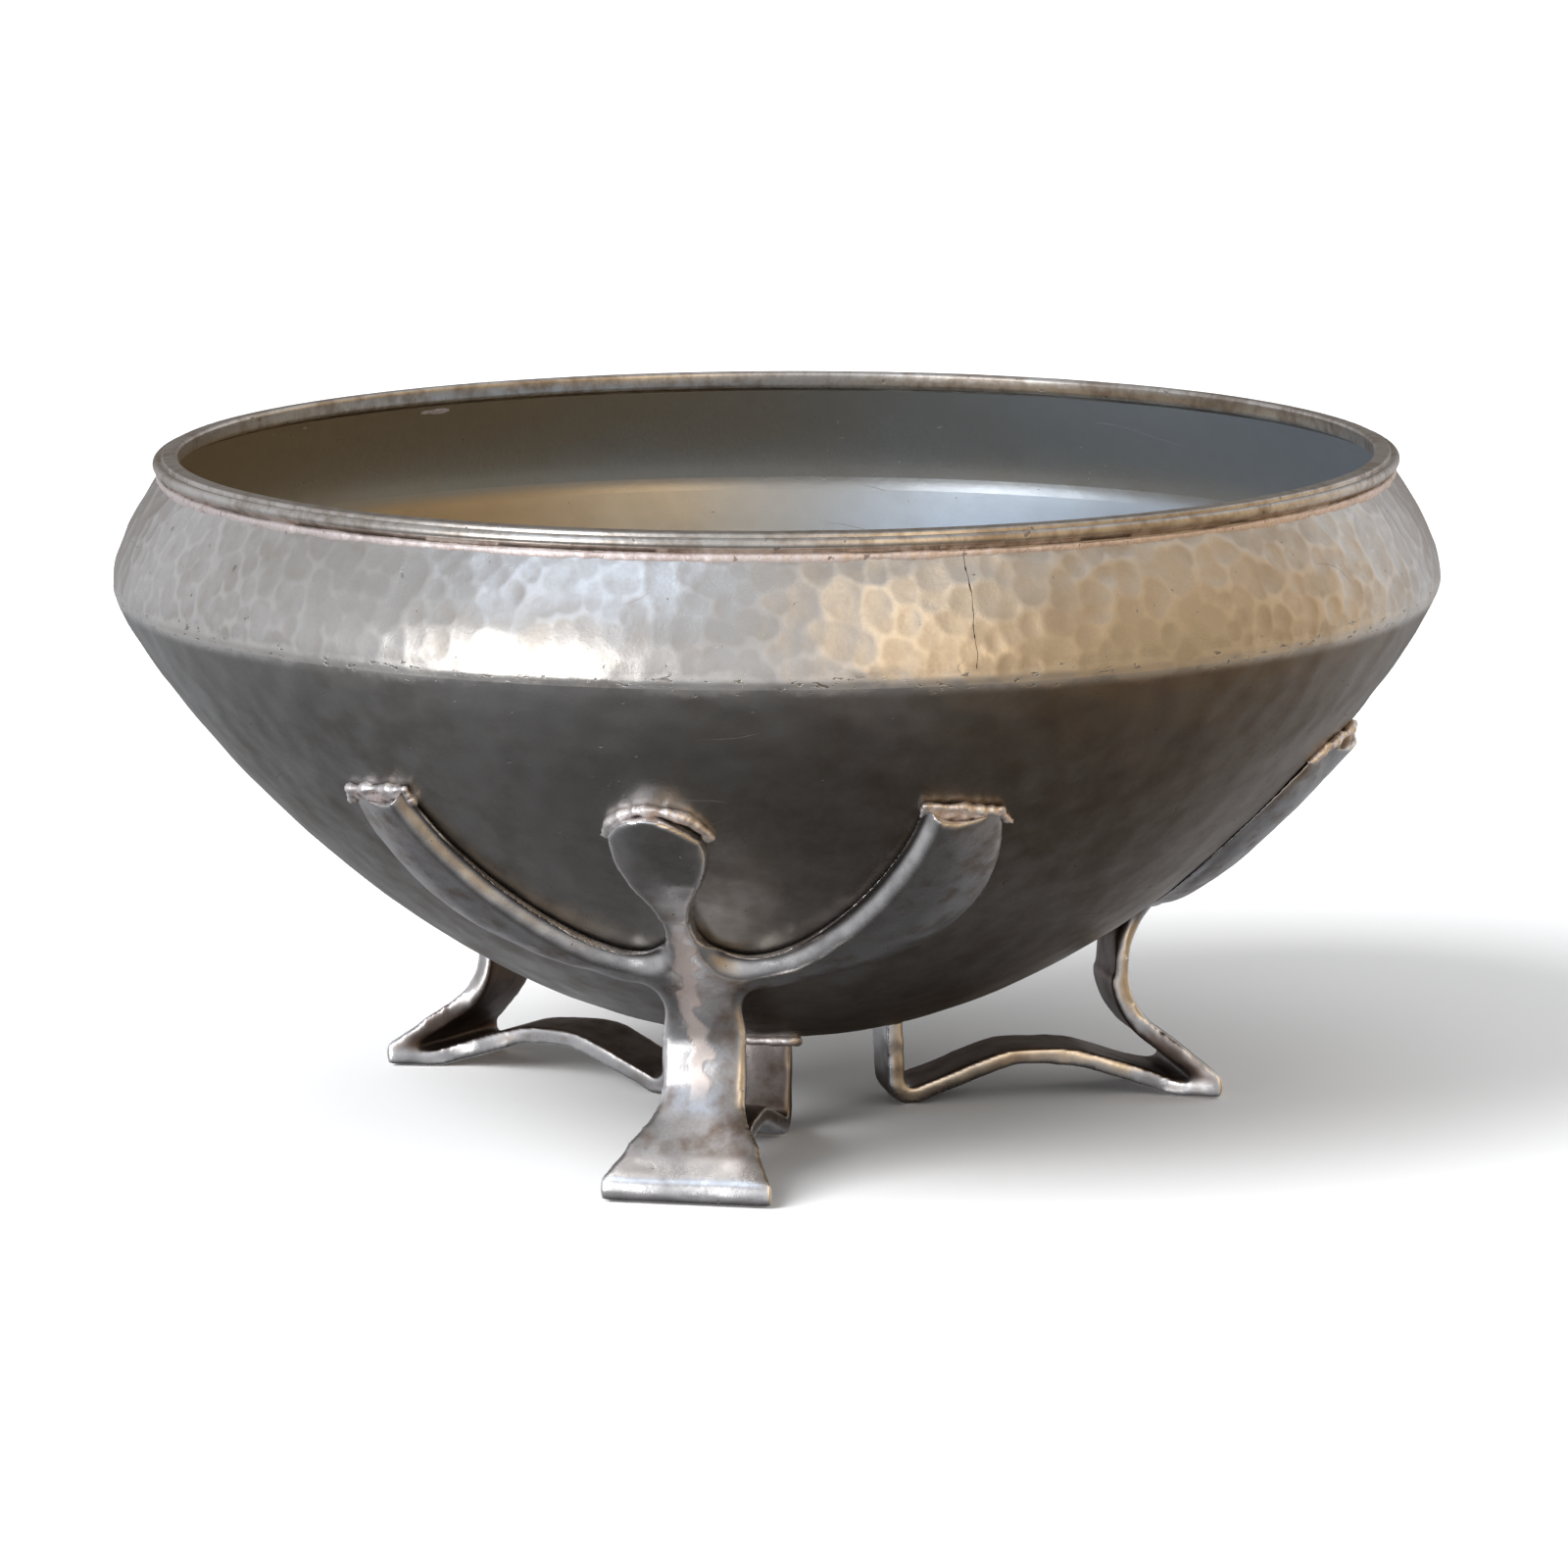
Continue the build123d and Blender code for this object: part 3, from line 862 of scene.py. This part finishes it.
def foot_extras(skin, color, rough, height):
    """Painted shade inside the strap's loop, and a pinkish streak of solder down the neck."""
    # Painted shade: darkens the faces inside the strap's loop
    dark = skin.attribute("painted_loop_shade")
    color = skin.tint(dark, color, (0.26, 0.20, 0.17))
    rough = skin.math("MULTIPLY_ADD", dark, 0.16, rough)
    streak = skin.attribute("streak")
    color = skin.blend(skin.math("MULTIPLY", streak, 0.85), color, (0.84, 0.74, 0.69))
    rough = skin.math("MULTIPLY_ADD", streak, 0.14, rough)
    return color, rough, skin.math("MULTIPLY_ADD", streak, 0.4, height)


# Each metal's colours are the plain one, the stained one and the bright worn one
bowl_mat = worn_metal("bowl_patina", (0.52, 0.51, 0.50), (0.35, 0.32, 0.285), (0.66, 0.65, 0.63),
                      rough=0.30, stain_size=22, more=wall_extras)
band_mat = worn_metal("band_silvery", (0.66, 0.635, 0.605), (0.50, 0.455, 0.41), (0.93, 0.90, 0.86),
                      rough=0.24, stain_size=30, stained=(0.40, 0.70), more=wall_extras)
rim_mat = worn_metal("rim_worn", (0.70, 0.665, 0.62), (0.40, 0.335, 0.28), (0.88, 0.85, 0.81),
                     rough=0.27, stain_size=60, stained=(0.42, 0.64), pits=0.70)
foot_mat = worn_metal("foot_burnished", (0.54, 0.535, 0.54), (0.31, 0.25, 0.21), (0.95, 0.93, 0.92),
                      rough=0.25, stain_size=34, stained=(0.46, 0.64), scratched=0.0, more=foot_extras)
solder_mat = worn_metal("solder_pale", (0.92, 0.83, 0.81), (0.62, 0.50, 0.46), (1.0, 0.96, 0.95),
                        rough=0.42, stain_size=120, stained=(0.48, 0.72), pits=0.68, grain=2.0, scratched=0.0)
seam_mat = worn_metal("seam_dark", (0.20, 0.175, 0.15), (0.07, 0.055, 0.045), (0.55, 0.5, 0.44),
                      rough=0.5, stain_size=150, stained=(0.4, 0.6), pits=0.6)


# ---------------------------------------------------------------- pieces

def stand_for(piece, node, material):
    """Puts a piece on the body in place of a CAD node."""
    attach(piece, "root")
    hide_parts(node)
    piece.data.materials.append(material)


# Side, degrees round from the front, and random seed
LEGS = (("front", 0, 101), ("right", 114, 102), ("left", -114, 103))

# Solder of each leg, height of its lumps and their wavelength
LEG_BEADS = (("bud_solder", 0.5, 4.6), ("arm_solder_a", 0.5, 4.2), ("arm_solder_b", 0.5, 4.2),
             ("riser_solder", 0.25, 4.0))
for maker, node, slot, mat in (
    (make_lower_bowl, "lower_bowl", "bowl", bowl_mat),
    (make_band, "shoulder_band", "shoulder", band_mat),
    (make_fold_ring, "fold_solder", "shoulder", band_mat),
    (make_rim, "rim_ring", "rim", rim_mat),
    (make_rim_bead, "rim_solder", "solder", solder_mat),
):
    stand_for(maker(), node, mat)

base_leg = leg_base()
for side, degrees, seed in LEGS:
    stand_for(make_leg(f"leg_{side}_forged", base_leg, degrees, seed), f"leg_{side}", foot_mat)
    for k, (bead, lump, wave) in enumerate(LEG_BEADS):
        node = f"{bead}_{side}"
        stand_for(make_bead(node + "_lumpy", node, lump, wave, seed * 10 + k), node, solder_mat)

stand_for(make_butt_seam(), "band_butt_solder", seam_mat)


# ---------------------------------------------------------------- stage, light and camera

FLOOR_HALF = 9000


def make_floor():
    """A large pale floor that the metal doesn't mirror."""
    corners = [(FLOOR_HALF * x, FLOOR_HALF * y, 0) for x, y in ((-1, -1), (1, -1), (1, 1), (-1, 1))]
    floor = new_object("floor", corners, [[0, 1, 2, 3]], smooth=False)
    m = bpy.data.materials.new("floor_white")
    m.use_nodes = True
    b = m.node_tree.nodes["Principled BSDF"]
    b.inputs["Base Color"].default_value = (0.9, 0.9, 0.9, 1)
    b.inputs["Roughness"].default_value = 0.9
    b.inputs["Specular IOR Level"].default_value = 0.0
    floor.data.materials.append(m)
    floor.visible_glossy = False


VIEW_AZIMUTH = math.radians(11.73)
AIM_HEIGHT = 100  # height that the soft lights point at


def in_view_frame(side, away, up):
    """A point given by its distance to the right of the viewer's line, away from the viewer and up, in mm."""
    c, s = math.cos(VIEW_AZIMUTH), math.sin(VIEW_AZIMUTH)
    return Vector((side * c - away * s, side * s + away * c, up)) * MM


def toward_light(turn, rise):
    """A direction in the view frame: turn is degrees to the right of the viewer, rise is degrees up."""
    a, e = math.radians(turn), math.radians(rise)
    return np.array([math.sin(a) * math.cos(e), -math.cos(a) * math.cos(e), math.sin(e)])


def soft_box(name, turn, rise, size, radiance, color=(1, 1, 1), diffuse=True):
    """A soft light that the metal mirrors, aimed at the bowl; without diffuse it doesn't light the floor."""
    distance = 2200
    place = distance * toward_light(turn, rise) + (0, 0, AIM_HEIGHT)
    data = bpy.data.lights.new(name, "AREA")
    data.shape = "RECTANGLE"
    data.size, data.size_y = size[0] * MM, size[1] * MM
    data.energy = radiance * math.pi * data.size * data.size_y
    data.color = color
    lamp = bpy.data.objects.new(name, data)
    lamp.location = in_view_frame(*place)
    aim = in_view_frame(0, 0, AIM_HEIGHT)
    lamp.rotation_euler = (aim - lamp.location).to_track_quat("-Z", "Y").to_euler()
    lamp.visible_diffuse = diffuse
    bpy.context.scene.collection.objects.link(lamp)


def add_sun(name, turn, rise, strength, spread):
    """A broad even light on the floor, which metal doesn't mirror."""
    data = bpy.data.lights.new(name, "SUN")
    data.energy = strength
    data.angle = math.radians(spread)
    lamp = bpy.data.objects.new(name, data)
    toward = in_view_frame(*toward_light(turn, rise))
    lamp.rotation_euler = (-toward).to_track_quat("-Z", "Y").to_euler()
    lamp.visible_glossy = False
    bpy.context.scene.collection.objects.link(lamp)


# Colours of the surround, each at its place on a ramp
BY_HEIGHT = (  # from straight down to straight up
    (0.0, (0.07, 0.065, 0.06)), (0.06, (0.16, 0.155, 0.15)), (0.15, (0.27, 0.265, 0.265)),
    (0.20, (0.38, 0.375, 0.375)), (0.26, (0.50, 0.495, 0.49)), (0.33, (0.60, 0.60, 0.60)),
    (0.42, (0.68, 0.68, 0.685)), (0.50, (0.76, 0.76, 0.77)), (0.60, (0.80, 0.80, 0.81)),
    (0.80, (0.64, 0.635, 0.63)), (0.93, (0.66, 0.655, 0.65)), (1.0, (0.50, 0.485, 0.47)),
)
BY_TURN = (  # from the cool side to the warm side
    (0.0, (0.80, 0.82, 0.86)), (0.35, (0.92, 0.95, 1.0)), (0.48, (1.0, 0.99, 0.98)),
    (0.58, (0.97, 0.88, 0.76)), (0.80, (0.92, 0.67, 0.42)), (1.0, (0.60, 0.45, 0.27)),
)
BY_BACK = (  # darker behind the bowl
    (0.0, (1, 1, 1)), (0.82, (1, 1, 1)), (0.93, (0.42, 0.38, 0.34)), (1.0, (0.28, 0.25, 0.22)),
)
WARM_SIDE = (math.sin(1.25), -math.cos(1.25), 0)  # in the view frame
BACK_SIDE = (0, 0.98, 0.2)
DIM_LIGHT = (0.24, 0.245, 0.25)  # what soft shading gets of the surround


def color_ramp(tree, stops, value):
    """The colour at a value on a ramp with the given stops."""
    node = tree.nodes.new("ShaderNodeValToRGB")
    ramp = node.color_ramp
    while len(ramp.elements) < len(stops):
        ramp.elements.new(0.5)
    for element, (at, color) in zip(ramp.elements, stops):
        element.position = at
        element.color = (*color, 1)
    tree.links.new(value, node.inputs[0])
    return node.outputs[0]


def multiplied(tree, a, b):
    """Two colours multiplied."""
    node = tree.nodes.new("ShaderNodeMix")
    node.data_type = "RGBA"
    node.blend_type = "MULTIPLY"
    node.inputs[0].default_value = 1
    tree.links.new(a, node.inputs[6])
    tree.links.new(b, node.inputs[7])
    return node.outputs[2]


def facing(tree, direction, side):
    """How much a direction turns to a side of the view frame."""
    node = tree.nodes.new("ShaderNodeVectorMath")
    node.operation = "DOT_PRODUCT"
    node.inputs[1].default_value = in_view_frame(*side) / MM
    tree.links.new(direction, node.inputs[0])
    return node.outputs["Value"]


def make_world():
    """A soft surround: bright walls, a dimmer ceiling, a dark ground and back, and a warm side.

    Metal mirrors it; for soft shading, as on the floor, it is one even dim colour.
    """
    world = bpy.data.worlds.new("surround")
    bpy.context.scene.world = world
    world.use_nodes = True
    tree = world.node_tree
    link = tree.links.new
    direction = tree.nodes.new("ShaderNodeTexCoord").outputs["Generated"]
    split = tree.nodes.new("ShaderNodeSeparateXYZ")
    half = tree.nodes.new("ShaderNodeMath")
    half.operation = "MULTIPLY_ADD"
    half.inputs[1].default_value = 0.5
    half.inputs[2].default_value = 0.5
    link(direction, split.inputs[0])
    link(split.outputs["Z"], half.inputs[0])
    by_height = color_ramp(tree, BY_HEIGHT, half.outputs[0])
    by_turn = color_ramp(tree, BY_TURN, facing(tree, direction, WARM_SIDE))
    by_back = color_ramp(tree, BY_BACK, facing(tree, direction, BACK_SIDE))
    walls = tree.nodes["Background"]
    link(multiplied(tree, multiplied(tree, by_height, by_turn), by_back), walls.inputs["Color"])
    dim = tree.nodes.new("ShaderNodeBackground")
    dim.inputs["Color"].default_value = (*DIM_LIGHT, 1)
    either = tree.nodes.new("ShaderNodeMixShader")
    link(tree.nodes.new("ShaderNodeLightPath").outputs["Is Diffuse Ray"], either.inputs[0])
    link(walls.outputs[0], either.inputs[1])
    link(dim.outputs[0], either.inputs[2])
    link(either.outputs[0], tree.nodes["World Output"].inputs["Surface"])


def make_shade_card():
    """A dark disc just over the floor that shows only in the metal, as the shaded table under it would."""
    corners, radius, lift = 96, 130, 0.4
    turn = np.linspace(0, 2 * np.pi, corners, endpoint=False)
    edge = np.stack([radius * np.cos(turn), radius * np.sin(turn), np.full(corners, lift)], 1)
    card = new_object("shade_card", edge, [list(range(corners))], smooth=False)
    m = bpy.data.materials.new("shade")
    m.use_nodes = True
    tree = m.node_tree
    tree.nodes.clear()
    coord = tree.nodes.new("ShaderNodeTexCoord")
    shift = tree.nodes.new("ShaderNodeVectorMath")
    shift.operation = "SUBTRACT"
    shift.inputs[1].default_value = in_view_frame(22, 6, 0)
    length = tree.nodes.new("ShaderNodeVectorMath")
    length.operation = "LENGTH"
    fade = tree.nodes.new("ShaderNodeMapRange")
    fade.interpolation_type = "SMOOTHSTEP"
    fade.inputs["From Min"].default_value = 0.02
    fade.inputs["From Max"].default_value = 0.088
    dark = tree.nodes.new("ShaderNodeEmission")
    dark.inputs["Color"].default_value = (0.022, 0.018, 0.015, 1)
    clear = tree.nodes.new("ShaderNodeBsdfTransparent")
    blend = tree.nodes.new("ShaderNodeMixShader")
    out = tree.nodes.new("ShaderNodeOutputMaterial")
    link = tree.links.new
    link(coord.outputs["Object"], shift.inputs[0])
    link(shift.outputs[0], length.inputs[0])
    link(length.outputs["Value"], fade.inputs["Value"])
    link(fade.outputs[0], blend.inputs[0])
    link(dark.outputs[0], blend.inputs[1])
    link(clear.outputs[0], blend.inputs[2])
    link(blend.outputs[0], out.inputs["Surface"])
    card.data.materials.append(m)
    card.visible_camera = False
    card.visible_diffuse = False
    card.visible_shadow = False


def make_camera():
    """Camera a little above the rim, at a long focal length."""
    distance, height, aside = 1500.0, 342.14, 1.34
    pitch, roll_angle = math.radians(10.29), math.radians(-0.272)
    data = bpy.data.cameras.new("camera")
    data.lens, data.sensor_width = 164.76, 36.0
    data.clip_end = 50
    cam = bpy.data.objects.new("camera", data)
    cam.location = in_view_frame(0, -distance, height)
    aim = in_view_frame(aside, 0, height - distance * math.tan(pitch))
    look = (aim - cam.location).to_track_quat("-Z", "Y").to_matrix().to_4x4()
    roll = Matrix.Rotation(roll_angle, 4, "Z")
    cam.matrix_world = Matrix.Translation(cam.location) @ look @ roll
    bpy.context.scene.collection.objects.link(cam)
    bpy.context.scene.camera = cam


make_floor()
make_shade_card()
make_world()
soft_box("window", turn=-43, rise=2, size=(950, 1800), radiance=4.2)
soft_box("window_top", turn=-42, rise=48, size=(1000, 1000), radiance=1.15, color=(0.72, 0.88, 1.12))
soft_box("lamp_wall", turn=23, rise=26, size=(760, 2500), radiance=0.86, color=(1.0, 0.72, 0.38),
         diffuse=False)
add_sun("daylight", turn=-56, rise=38, strength=3.7, spread=42)
add_sun("fill", turn=60, rise=70, strength=1.7, spread=100)
make_camera()
bpy.context.scene.view_settings.view_transform = "Standard"
